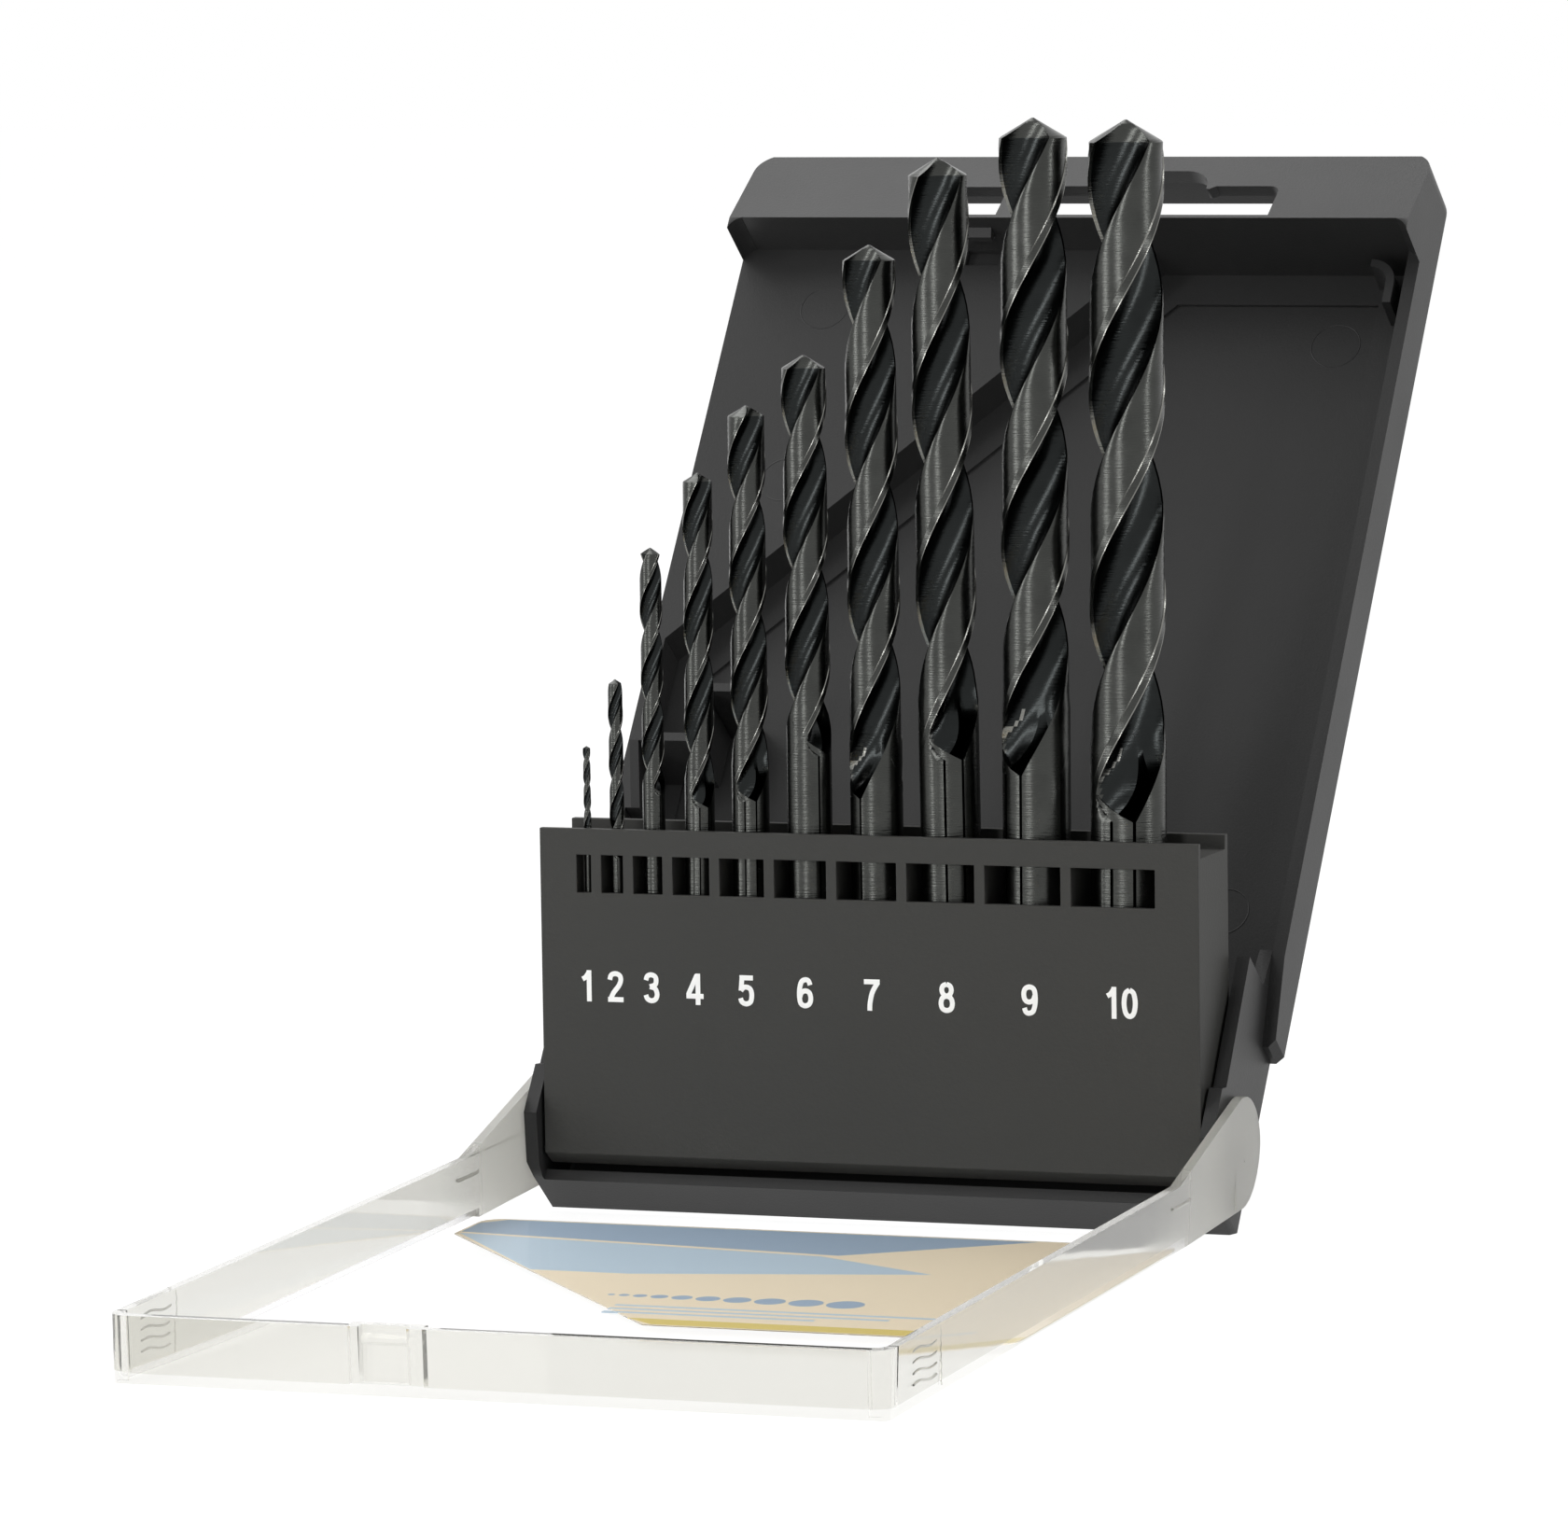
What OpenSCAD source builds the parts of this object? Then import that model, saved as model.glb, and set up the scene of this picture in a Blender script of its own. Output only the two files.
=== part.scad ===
// Drill bit case: a leaning back shell, a swinging bit holder, a clear lid
// and ten twist drills. Millimetres, +Z up, drawn open as it stands on a table.
// The origin is on the table, straight below the hinge axis.
// Shell, holder and lid are each drawn as in the closed case, lying on its back:
// x is across, y runs from the hinge axis to the far end, z faces out of the lid.
// The on_ modules then stand each of them where it is in the open case.

/* [Pose] */
// Lean of the back shell from the vertical
lean = 37.4; // [34:0.1:40]
// Height of the hinge axis above the table
hinge_h = 11.3; // [11:0.1:12]

/* [Back shell] */
// Width across the side walls
shell_w = 100; // [100:0.5:104]
// Hinge axis to the face that the lid's end meets
lip_y = 143; // [142.8:0.1:146]
// Hinge axis to the top end
shell_top = 158.2; // [156:0.1:162]
// Front edge of that face in front of the hinge axis
lip_z = 7.8; // [7:0.1:8.5]
// Depth of the back face behind the hinge axis
back_z = 8; // [7.8:0.1:9]
// Wall thickness
wall = 1.6; // [1.4:0.1:1.8]
// Radius of the top corners
top_corner_r = 4; // [2:0.5:6]

/* [Lid] */
// Hinge axis to the lid's end, at the base
lid_l = 141.4; // [140:0.1:142]
// Outer face of the lid in front of the hinge axis
lid_z = 8.4; // [8.4:0.1:9]
// Thickness of the lid's plate
plate_t = 1.2; // [1:0.1:1.3]
// How much wider the lid's rim is than its base, each side
draft = 0.4; // [0.2:0.1:0.6]
// Radius of the round ears
ear_r = 7; // [6:0.1:7.3]

/* [Bit holder] */
// Width of the holder
holder_w = 92; // [92:0.5:92.5]
// Height of the holder
holder_h = 45.5; // [42:0.5:46]
// Front face in front of the hinge axis
holder_front = 7; // [6.8:0.1:7]
// Back face behind the hinge axis
holder_back = 6; // [5.5:0.1:6]
// Bottom below the hinge axis
holder_drop = 4.5; // [4:0.1:4.6]
// Radius of the trunnions that the holder and the lid turn on
trunnion_r = 2.2; // [1.8:0.1:2.6]

/* [Drills] */
// Angle of the drill points
point_angle = 118; // [110:1:135]

/* [Hidden] */
$fn = 48;

// Jobber drills of 1 to 10 mm: overall lengths, and lengths from the tip to the flutes' ends
drills = 10;
drill_l = [34, 49, 61, 75, 86, 93, 109, 117, 125, 133];
flute_l = [12, 24, 33, 44.5, 52.5, 53, 73, 79, 86, 91.5];
flute_depth = 0.72;                // flute's depth and run-out, as shares of the radius and the diameter
flute_runout = 1.2;
flute_half = 50;                   // half the flute's width, degrees
// Height of each drill's end above the holder's bottom
seat_h = [22.4, 16.4, 22, 18, 16, 15.7, 14.2, 17.6, 14.8, 6.5];
// How far each drill leans to the right in its loose pocket, in degrees
drill_lean = [0, 0, 0.05, 0.45, 0.15, 0, -0.05, -0.45, 0.36, 0.4];
// Turn of each drill about its own axis, and the angle of its flutes' helix, in degrees
drill_turn = [8, 93, -52, 67, 63, 22, 0, 28, 0, 10];
helix = [25, 25, 27, 25.7, 27.6, 28.3, 27.5, 27.4, 29.3, 29.3];

half = shell_w / 2;
side_t = 1.8;                      // thickness of side walls and cheeks
cheek_out = half - side_t;         // outer face of the cheeks
cheek_in = cheek_out - side_t;
back_t = wall;
floor_z = -back_z + back_t;        // inner face of the back
rim_gap = 0.3;
rim_z = -rim_gap;                  // parting line on the shell
ear_gap = 0.3;
lid_half = half - 0.2;             // lid's rim, half width
lid_in = cheek_out + ear_gap;      // inner face of the lid's side walls
plate_in_z = lid_z - plate_t;
plate_y = 25;                      // hinge-side edge of the lid's plate
ear_y = 28.6;                      // where the ear's slope meets the rim
lid_end = lid_l + draft + 0.1;     // far end at the rim
lid_corner_r = 2.5;
end_wall_t = 1.4;
run_gap = 0.05;                    // trunnion in its bores, on the radius
bore_r = trunnion_r + run_gap;

// The opened lid's far edge just touches the table
lid_tilt = asin(hinge_h / norm([lid_l, lid_z])) - atan(lid_z / lid_l);

cheek_top = 24.5;
rim_foot = 17.5;                   // where the wide walls end, above the ears
bottom_y = -9.2;
front_step = [4.2, 8.9];           // cheek's step: height, depth below it
bevel_out = [157.6, 1.8];          // where the bevel meets the top end
hang_slot = [-6, 29.5, 143.7, 150.5];
latch_slot = [-19.4, -10.4, 143.7, 150.3];
bump_top = 154.1;
latch_x = [-16.4, -11.5];

slit = 0.01;                       // overlap that makes joined solids one
big = 300;

module on_shell() { translate([0, 0, hinge_h]) rotate([90 - lean, 0, 0]) children(); }
module on_holder() { translate([0, 0, hinge_h]) rotate([90, 0, 0]) children(); }
module on_lid() { translate([0, 0, hinge_h]) rotate([180 + lid_tilt, 0, 0]) children(); }

// A profile of [y, z] points, drawn out along x
module along_x(x0, x1, points) {
    translate([x0, 0, 0]) rotate([90, 0, 90]) linear_extrude(x1 - x0) polygon(points);
}

// A plan of [x, y] points, drawn out along z
module upright(z0, z1, points) {
    translate([0, 0, z0]) linear_extrude(z1 - z0) polygon(points);
}

module block(x0, x1, y0, y1, z0, z1) {
    translate([x0, y0, z0]) cube([x1 - x0, y1 - y0, z1 - z0]);
}

module both_sides() {
    children();
    mirror([1, 0, 0]) children();
}

// Points of an arc about c, from angle a to angle b
function arc(c, r, a, b, steps = 10) =
    [for (i = [0:steps]) c + r * [cos(a + (b - a) * i / steps), sin(a + (b - a) * i / steps)]];

// Rectangle with its two far corners rounded
function far_rounded(half_w, y0, y1, r) = concat(
    [[half_w, y0]],
    arc([half_w - r, y1 - r], r, 0, 90),
    arc([r - half_w, y1 - r], r, 90, 180),
    [[-half_w, y0]]
);

// ---------- back shell ----------

// Diagonal edge of the raised panel that keeps the short drills in
panel_low = [-cheek_out, 77.5];
panel_high = [11, lip_y];
panel_dir = (panel_high - panel_low) / norm(panel_high - panel_low);
panel_normal = [panel_dir[1], -panel_dir[0]];

// Side profile of the bevelled top end, shrunk by t all round
function end_profile(t) = [
    [lip_y + t, -back_z - slit * t],
    [lip_y + t, lip_z - t * 1.15],
    [lip_y + t * 1.6, lip_z - t * 1.15],
    [bevel_out[0] - t * 1.1, bevel_out[1] - t * 0.8],
    [shell_top - t, 0.2 - t * 0.5],
    [shell_top - 0.3 - t, -back_z - slit * t]
];

module end_block() {
    difference() {
        intersection() {
            along_x(-half, half, concat([[lip_y - 4, -back_z]], [[lip_y - 4, lip_z]],
                [for (i = [2:5]) end_profile(0)[i]]));
            upright(-back_z - 1, lid_z + 1, far_rounded(half, lip_y - 5, shell_top, top_corner_r));
        }
        // room for the lid's end, which has round corners
        upright(rim_z, lid_z + 1, far_rounded(lid_half + 0.3, 0, lip_y, lid_corner_r));
        // hollow, open at the back
        difference() {
            intersection() {
                translate([0, 0, -1]) along_x(-half + wall, half - wall, end_profile(wall));
                upright(-back_z - 2, lid_z,
                    far_rounded(half - wall, lip_y + wall, shell_top - wall, top_corner_r - wall));
            }
            for (x = [-34, -8.2, 33])
                block(x - 0.6, x + 0.6, lip_y, shell_top, floor_z, lid_z);
        }
        block(-cheek_out, cheek_out, lip_y - 5, lip_y, floor_z, lid_z + 1);
    }
}

// Slot for a shop hook: round far corners, a small nib each side of a round-shouldered bump
module hang_openings() {
    middle = (hang_slot[0] + hang_slot[1]) / 2;
    half_slot = (hang_slot[1] - hang_slot[0]) / 2;
    r = 1.4;
    bump = 7.2;
    top = hang_slot[3];
    upright(-back_z - 1, lid_z + 1, [for (p = concat(
        [[half_slot, hang_slot[2]]],
        arc([half_slot - r, top - r], r, 0, 90, 5),
        [[bump + 1.2, top], [bump + 0.3, top - 0.7], [bump - 0.1, top - 0.6]],
        arc([bump - 4, bump_top - 3.8], 3.8, 5, 90, 6),
        arc([4 - bump, bump_top - 3.8], 3.8, 90, 175, 6),
        [[0.1 - bump, top - 0.6], [-bump - 0.3, top - 0.7], [-bump - 1.2, top]],
        arc([r - half_slot, top - r], r, 90, 180, 5),
        [[-half_slot, hang_slot[2]]]
    )) p + [middle, 0]]);
    block(latch_slot[0], latch_slot[1], latch_slot[2], latch_slot[3], -back_z - 1, lid_z + 1);
}

// Wide walls above the ears, with the slope that the ears lie against
module side_walls() {
    slope = (ear_y - rim_foot) * tan(asin(ear_r / ear_y));
    both_sides() along_x(cheek_out - slit, half, [
        [rim_foot, -back_z], [lip_y, -back_z], [lip_y, rim_z],
        [ear_y + 1, rim_z], [rim_foot, rim_z - slope - 0.4]
    ]);
}

module cheeks() {
    both_sides() along_x(cheek_in, cheek_out, [
        [bottom_y, -back_z], [cheek_top + 6, -back_z], [cheek_top + 6, rim_z],
        [cheek_top, 0.8], [cheek_top, 8.2], [front_step[0] + 1, 7.4], front_step,
        [-3.2, front_step[1]], [-8.4, 4], [bottom_y, 2]
    ]);
}

module floor_and_bottom() {
    difference() {
        union() {
            block(-cheek_out, cheek_out, bottom_y, lip_y + slit, -back_z, floor_z);
            block(-cheek_in - slit, cheek_in + slit, bottom_y, bottom_y + wall, -back_z, 1.2);
        }
        // shallow field a few millimetres inside the walls
        edge = 5;
        field_z = floor_z - 0.5;
        shift = panel_low + panel_normal * edge * 1.1;
        run = (lip_y - edge - shift[1]) / panel_dir[1];
        upright(field_z, 0, [
            [edge - cheek_out, 30], [cheek_out - edge, 30],
            [cheek_out - edge, lip_y - edge], shift + panel_dir * run,
            [edge - cheek_out, shift[1] + (edge - cheek_out - shift[0]) * panel_dir[1] / panel_dir[0]]
        ]);
    }
}

module raised_panel() {
    upright(-back_z, rim_z, [
        panel_low - [slit, 0], panel_high + [0, slit], [-cheek_out - slit, lip_y + slit]]);
}

// Hollow behind the raised panel, and the latch's pocket in its far edge
module panel_hollows() {
    upright(-back_z - 1, rim_z - wall, [
        panel_low + [0, 4.4], [panel_high[0] - 4, lip_y], [-cheek_out, lip_y]]);
    block(latch_x[0], latch_x[1], lip_y - 2.6, lip_y - slit, rim_z - 1, rim_z + 1);
}

module stop_steps() {
    top_z = 5.5;
    t = 1.3;
    x0 = -47.3;
    block(x0, -37.9, 57.4, 57.4 + t, floor_z - 1, top_z);
    block(-37.9 - t, -37.9, 57.4, 66.8, floor_z - 1, top_z);
    block(-37.9 - t, -33.4, 66.8 - t, 66.8, floor_z - 1, top_z);
    // gusset at the wall
    along_x(x0, x0 + t, [[50, floor_z - 1], [50, rim_z], [57.4 + slit, top_z], [57.4 + slit, floor_z - 1]]);
    block(-cheek_out - slit, x0 + slit, 50, 57.4 + t, floor_z - 1, rim_z);
}

module corner_hook() {
    t = 1.2;
    c = [43, 138];
    upright(floor_z - 1, rim_z - 0.2, concat(
        arc(c, 3.8, 0, 90, 6), arc(c, 3.8 - t, 90, 0, 6),
        [[c[0] + 3.8 - t, 134.6], [c[0] + 3.8, 134.6]]
    ));
}

module latch_nub() {
    along_x(latch_x[0], latch_x[1], [
        [lip_y + 0.5, 2.8], [lip_y - 1.2, 3.6], [lip_y - 1.2, 4.6], [lip_y + 0.5, 5.6]
    ]);
}

module back_shell() {
    color("#3a3a3a") difference() {
        on_shell() difference() {
            union() {
                floor_and_bottom();
                side_walls();
                cheeks();
                end_block();
                raised_panel();
                stop_steps();
                corner_hook();
                latch_nub();
            }
            hang_openings();
            panel_hollows();
            // bores for the trunnions
            rotate([0, 90, 0]) cylinder(h = shell_w + 20, r = bore_r, center = true);
            // chamfered lower corners
            both_sides() upright(-back_z - 1, lid_z + 2, [
                [cheek_out - 1, bottom_y - 1], [cheek_out + 1, bottom_y + 3], [cheek_out + 5, bottom_y - 1]]);
            both_sides() upright(-back_z - 1, 5, [
                [cheek_out, rim_foot - 1], [half + 1, rim_foot - 1], [half + 1, rim_foot + 2.2]]);
        }
        // flat foot on the table
        translate([-big / 2, -big / 2, -big]) cube([big, big, big]);
    }
}

// ---------- bit holder ----------

holder_bottom = -holder_drop;
holder_top = holder_h - holder_drop;
front_t = 1;                       // front wall before the drills
drill_gap = 0.3;
deck_drop = 1.9;                   // deck below the top of the front and back
divider = 1.45;
window = [8.6, 3.5];               // window's lower and upper edges below the top
web_t = 1.4;                       // webs behind and below the drills
holder_back_t = 1.2;               // back wall
under_t = 1.6;                     // floor that a drill's end stands on
foot_bevel = [1.7, 2.5];           // bevel of the bottom front edge: height, depth
back_bevel = [3.1, 1.8];           // and of the bottom back edge

function drill_d(i) = i + 1;
function pocket_w(i) = 1.05 * drill_d(i) + 1;
function pocket_left(i) = i == 0 ? 0 : pocket_left(i - 1) + pocket_w(i - 1) + divider;
pockets_w = pocket_left(9) + pocket_w(9);
pockets_x0 = -pockets_w / 2 - 0.4;
function drill_x(i) = pockets_x0 + pocket_left(i) + pocket_w(i) / 2;
function drill_z(i) = holder_front - front_t - drill_gap - drill_d(i) / 2;
function drill_y(i) = holder_bottom + seat_h[i];

module pocket(i) {
    x0 = drill_x(i) - pocket_w(i) / 2;
    x1 = x0 + pocket_w(i);
    front = holder_front - front_t;
    back = drill_z(i) - drill_d(i) / 2 - drill_gap;
    // pocket that the drill stands in
    block(x0, x1, drill_y(i) - 0.2, holder_top + 1, back, front);
    // window near the top
    block(x0, x1, holder_top - window[0], holder_top - window[1], back, holder_front + 1);
    // hollow behind a thin drill
    if (back - web_t > 2 - holder_back + holder_back_t)
        block(x0, x1, trunnion_r + 3.8, holder_top + 1, holder_back_t - holder_back, back - web_t);
    // hollow below the drill, open underneath and clear of the chamfered edge
    under = drill_y(i) - 0.2 - under_t;
    along_x(x0, x1, [
        [holder_bottom - 1, back_bevel[1] + 0.8 - holder_back], [holder_bottom - 1, front - 5.1],
        [holder_bottom + foot_bevel[0] + 0.7, front - 0.2], [under, front - 0.2],
        [under, web_t - holder_back], [holder_bottom + back_bevel[0] + 0.5, web_t - holder_back]
    ]);
}

module bit_holder() {
    color("#434341") on_holder() difference() {
        union() {
            along_x(-holder_w / 2, holder_w / 2, [
                [holder_bottom, back_bevel[1] - holder_back], [holder_bottom, holder_front - foot_bevel[1]],
                [holder_bottom + foot_bevel[0], holder_front], [holder_top, holder_front],
                [holder_top, -holder_back], [holder_bottom + back_bevel[0], -holder_back]
            ]);
            rotate([0, 90, 0])
                cylinder(h = 2 * (lid_half - 0.6), r = trunnion_r, center = true);
        }
        // deck between the front and back walls
        block(-holder_w, holder_w, holder_top - deck_drop, holder_top + 1,
            holder_back_t - holder_back, holder_front - front_t);
        for (i = [0:drills - 1]) pocket(i);
    }
}

// ---------- clear lid ----------

// Ear and side wall: round about the hinge, sloping up to the rim
ear_slope = asin(ear_r / ear_y);
low_r = ear_r + 0.5;
ear_side = concat(
    [[lid_l - 3, 0], [ear_y, 0]],
    arc([0, 0], ear_r, 270 + ear_slope, 180, 16),
    arc([0.5, ear_r + 0.8 - low_r], low_r, 180, 90, 12),
    [[plate_y, lid_z], [lid_l - 3, lid_z]]
);

module lid_body() {
    intersection() {
        upright(-ear_r, lid_z, far_rounded(lid_half, -20, lid_end, lid_corner_r));
        union() {
            along_x(-half, half, [[plate_y, plate_in_z], [plate_y, lid_z], [lid_l, lid_z],
                [lid_end, 0], [lid_end - end_wall_t - 0.2, 0], [lid_end - end_wall_t - 0.2, plate_in_z]]);
            both_sides() along_x(lid_in, half, ear_side);
            // round inner corners and the thick place behind the latch recess
            both_sides() upright(0, lid_z - 0.5, concat(
                [[lid_half + 0.1, lid_end], [lid_half + 0.1, lid_end - 3.2], [lid_in, lid_end - 3.2]],
                arc([lid_in - 1.4, lid_end - 3.2], 1.4, 0, 90, 5), [[lid_in - 1.4, lid_end]]));
            block(latch_slot[0] + 0.6, latch_slot[1] + 1.2, lid_l - 2.5, lid_l, 0, lid_z - 0.5);
        }
        // the sides draw in towards the base
        rotate([90, 0, 0]) mirror([0, 0, 1]) translate([0, 0, -20]) linear_extrude(lid_end + 30)
            polygon([[-lid_half, -ear_r], [lid_half, -ear_r], [lid_half, 0],
                [lid_half - draft, lid_z], [draft - lid_half, lid_z], [-lid_half, 0]]);
    }
}

module clear_lid() {
    color([0.9, 0.92, 0.92, 0.4]) on_lid() difference() {
        lid_body();
        // recess and bead of the latch
        difference() {
            block(latch_x[0] - 0.7, latch_x[1] + 0.7, lid_l - 1.1, lid_end + 1, -1, lid_z - 1.5);
            along_x(latch_x[0] - 1, latch_x[1] + 1, [
                [lid_l - 1.2, 1], [lid_l - 0.5, 1.5], [lid_l - 0.5, 2], [lid_l - 1.2, 2.5]]);
        }
        // blind bores on the trunnions
        rotate([0, 90, 0]) cylinder(h = 2 * (lid_half - 0.5), r = bore_r, center = true);
        label_sheet(1);
    }
}

// ---------- label ----------

label_t = 0.15;
label_x = 46.8;
label_y = [26.5, 92];

// The label lies in a shallow seat in the lid's outer face, one corner cut off
module label_sheet(over) {
    r = 3;
    upright(lid_z - label_t, lid_z + over, concat(
        arc([label_x - r, label_y[0] + r], r, -90, 0, 6),
        arc([label_x - r, label_y[1] - r], r, 0, 90, 6),
        [[0, label_y[1]], [-label_x, 38]],
        arc([r - label_x, label_y[0] + r], r, 180, 270, 6)
    ));
}

module lid_label() {
    color("#d9cdb4") on_lid() label_sheet(0);
}

// ---------- twist drills ----------

sides = 24;
turn_steps = 29;

// Depth of the two flutes at an angle from the middle of a land, 0 to 1
function flute(a) = let (b = abs(((a % 180) + 180) % 180 - 90))
    b > flute_half ? 0 : pow(cos(b * 90 / flute_half), 0.75);

// Radius of a drill of radius r at height h and angle a, h measured from its end
function drill_radius(i, h, a) = let (
    r = drill_d(i) / 2,
    len = drill_l[i],
    start = len - flute_l[i],
    lift = pow(1 - min(1, max(0, (h - start) / (drill_d(i) * flute_runout))), 2),
    shoulder = len - r / tan(point_angle / 2),
    turn = drill_turn[i] + (h - shoulder) * tan(helix[i]) / r * 180 / PI,
    fluted = r * (1 - flute_depth * max(0, flute(a - turn) - lift)),
    cone = (len - h) * tan(point_angle / 2)
) min(fluted, cone);

// Heights of the rings: shank, run-out, flutes and point
function drill_rings(i) = let (
    r = drill_d(i) / 2,
    len = drill_l[i],
    start = len - flute_l[i],
    shoulder = len - r / tan(point_angle / 2)
) concat(
    [0, start],
    [for (k = [1:4]) start + drill_d(i) * flute_runout * k / 4],
    [for (k = [1:turn_steps]) let (h = start + drill_d(i) * flute_runout)
        h + (shoulder - h) * k / turn_steps],
    [for (k = [1:2]) shoulder + (len - shoulder) * k * 0.32]
);

module twist_drill(i) {
    rings = drill_rings(i);
    n = len(rings);
    points = concat(
        [for (h = rings) for (k = [0:sides - 1]) let (a = k * 360 / sides, p = drill_radius(i, h, a))
            [p * cos(a), p * sin(a), h]],
        [[0, 0, drill_l[i]]]
    );
    walls = [for (j = [0:n - 2]) for (k = [0:sides - 1]) let (
        a = j * sides + k, b = j * sides + (k + 1) % sides, c = a + sides, d = b + sides
    ) each [[a, c, b], [b, c, d]]];
    tip = [for (k = [0:sides - 1])
        [(n - 1) * sides + k, n * sides, (n - 1) * sides + (k + 1) % sides]];
    end = [[for (k = [0:sides - 1]) k]];
    // a drill stands along the holder's height
    color("#2b2d2f") on_holder() translate([drill_x(i), drill_y(i), drill_z(i)])
        rotate([-90, 0, 0]) rotate([0, drill_lean[i], 0]) polyhedron(points, concat(end, walls, tip));
}

back_shell();
bit_holder();
clear_lid();
lid_label();
for (i = [0:drills - 1])
    twist_drill(i);
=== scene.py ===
"""Looks of a drill bit case: leaning black shell, swinging bit holder, clear lid and ten twist drills."""

from math import atan, atan2, asin, cos, degrees, hypot, pi, radians, sin, tan

import bmesh
import bpy
from mathutils import Matrix, Vector


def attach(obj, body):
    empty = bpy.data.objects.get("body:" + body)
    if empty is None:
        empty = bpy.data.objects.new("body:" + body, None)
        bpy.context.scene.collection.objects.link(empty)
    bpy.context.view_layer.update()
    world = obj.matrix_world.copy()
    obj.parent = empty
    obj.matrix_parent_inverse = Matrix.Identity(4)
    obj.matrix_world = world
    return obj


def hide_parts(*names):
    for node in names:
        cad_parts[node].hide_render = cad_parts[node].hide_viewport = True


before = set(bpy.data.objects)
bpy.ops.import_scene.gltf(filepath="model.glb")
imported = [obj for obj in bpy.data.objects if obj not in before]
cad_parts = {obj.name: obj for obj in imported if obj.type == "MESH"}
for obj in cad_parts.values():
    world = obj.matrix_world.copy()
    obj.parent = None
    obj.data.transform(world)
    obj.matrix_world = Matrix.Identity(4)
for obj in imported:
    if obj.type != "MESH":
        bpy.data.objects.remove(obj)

bl_info = {
    "name": "Drill bit case",
    "version": (1, 0, 0),
    "blender": (4, 5, 0),
    "location": "3D View > Sidebar > Drill case",
    "description": "Dresses the packed drill bit case with its plastics, numerals, label and twist drills",
    "category": "Object",
}

# ---------- how the case stands, in millimetres and degrees, as in the part ----------

LEAN = 37.4
HINGE = 11.3
LID_L, LID_Z, PLATE_T = 141.4, 8.4, 1.2
LID_TILT = asin(HINGE / hypot(LID_L, LID_Z)) - atan(LID_Z / LID_L)
LID_HALF = 49.8
HOLDER_FRONT, HOLDER_DROP = 7.0, 4.5
POCKET_FRONT = 1.3                # wall in front of the drills
POCKET_WEB = 1.45                 # wall between two pockets
DRILL_L = [34, 49, 61, 75, 86, 93, 109, 117, 125, 133]
FLUTE_L = [12, 24, 33, 44.5, 52.5, 53, 73, 79, 86, 91.5]
SEAT_H = [22.4, 16.4, 22, 18, 16, 15.7, 14.2, 17.6, 14.8, 6.5]
DRILL_LEAN = [0, 0, 0.05, 0.45, 0.15, 0, -0.05, -0.45, 0.36, 0.4]
DRILL_TURN = [8, 93, -52, 67, 63, 22, 0, 28, 0, 10]
HELIX = [25, 25, 27, 25.7, 27.6, 28.3, 27.5, 27.4, 29.3, 29.3]
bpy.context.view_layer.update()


def standing(turn):
    """Matrix from a piece's own frame, drawn shut and lying in mm, to where it stands open, in metres."""
    metres = Matrix.Diagonal((0.001, 0.001, 0.001, 1))
    return metres @ Matrix.Translation((0, 0, HINGE)) @ Matrix.Rotation(turn, 4, "X")


ON_SHELL = standing(radians(90 - LEAN))
ON_HOLDER = standing(radians(90))
ON_LID = standing(pi + LID_TILT)


def linear(code):
    """Linear RGB of an sRGB hex colour."""
    parts = [int(code[i:i + 2], 16) / 255 for i in (1, 3, 5)]
    return tuple(c / 12.92 if c <= 0.04045 else ((c + 0.055) / 1.055) ** 2.4 for c in parts)


# ---------- what a user may change ----------


def colour(name, about, code):
    return bpy.props.FloatVectorProperty(
        name=name, description=about, default=linear(code), subtype="COLOR", min=0, max=1)


def distance(name, about, default, low, high, digits):
    return bpy.props.FloatProperty(
        name=name, description=about, default=default, min=low, max=high, precision=digits, unit="LENGTH")


class CaseColours(bpy.types.PropertyGroup):
    shell: colour("Shell", "Black polypropylene of the shell", "#2b2b2b")
    holder: colour("Holder", "Black polypropylene of the bit holder", "#353533")
    numeral: colour("Numerals", "White pad-printing ink", "#f4f4f2")
    steel: colour("Drill steel", "Steam-oxidised high-speed steel of shanks and lands", "#40413f")
    flute: colour("Drill flutes", "Thicker oxide in the flutes", "#262828")
    # painted highlight: this lighter colour stands in for the light that the margins' polished edges catch,
    # though they are as black as the lands
    edge: colour("Drill edge highlight", "Ground edges of the margins, where the oxide is worn", "#7a7a76")
    clear: colour("Lid", "Clear polystyrene", "#e6e5df")
    paper: colour("Label ground", "Printed film, ground colour", "#f7e8cc")
    ink_dark: colour("Label dark ink", "Printed film, darker blue", "#a0b4c8")
    ink_light: colour("Label light ink", "Printed film, lighter blue", "#c0d3e1")
    ink_edge: colour("Label edge ink", "Printed film, yellow edge", "#e2cd78")
    floor: colour("Floor", "Pale floor", "#f2f2f2")


class CaseSizes(bpy.types.PropertyGroup):
    edge_round: distance("Edge rounding", "Radius of the plastic's edges", 0.00022, 0.00005, 0.0004, 5)
    numeral_h: distance("Numeral height", "Height of the printed numbers", 0.0042, 0.002, 0.006, 4)
    numeral_y: distance("Numeral base", "Foot of the numbers above the hinge axis", 0.0178, 0.01, 0.025, 4)
    stroke: distance("Numeral stroke", "Stroke width of the printed numbers", 0.00067, 0.0003, 0.001, 5)


# ---------- making pieces ----------


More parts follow.
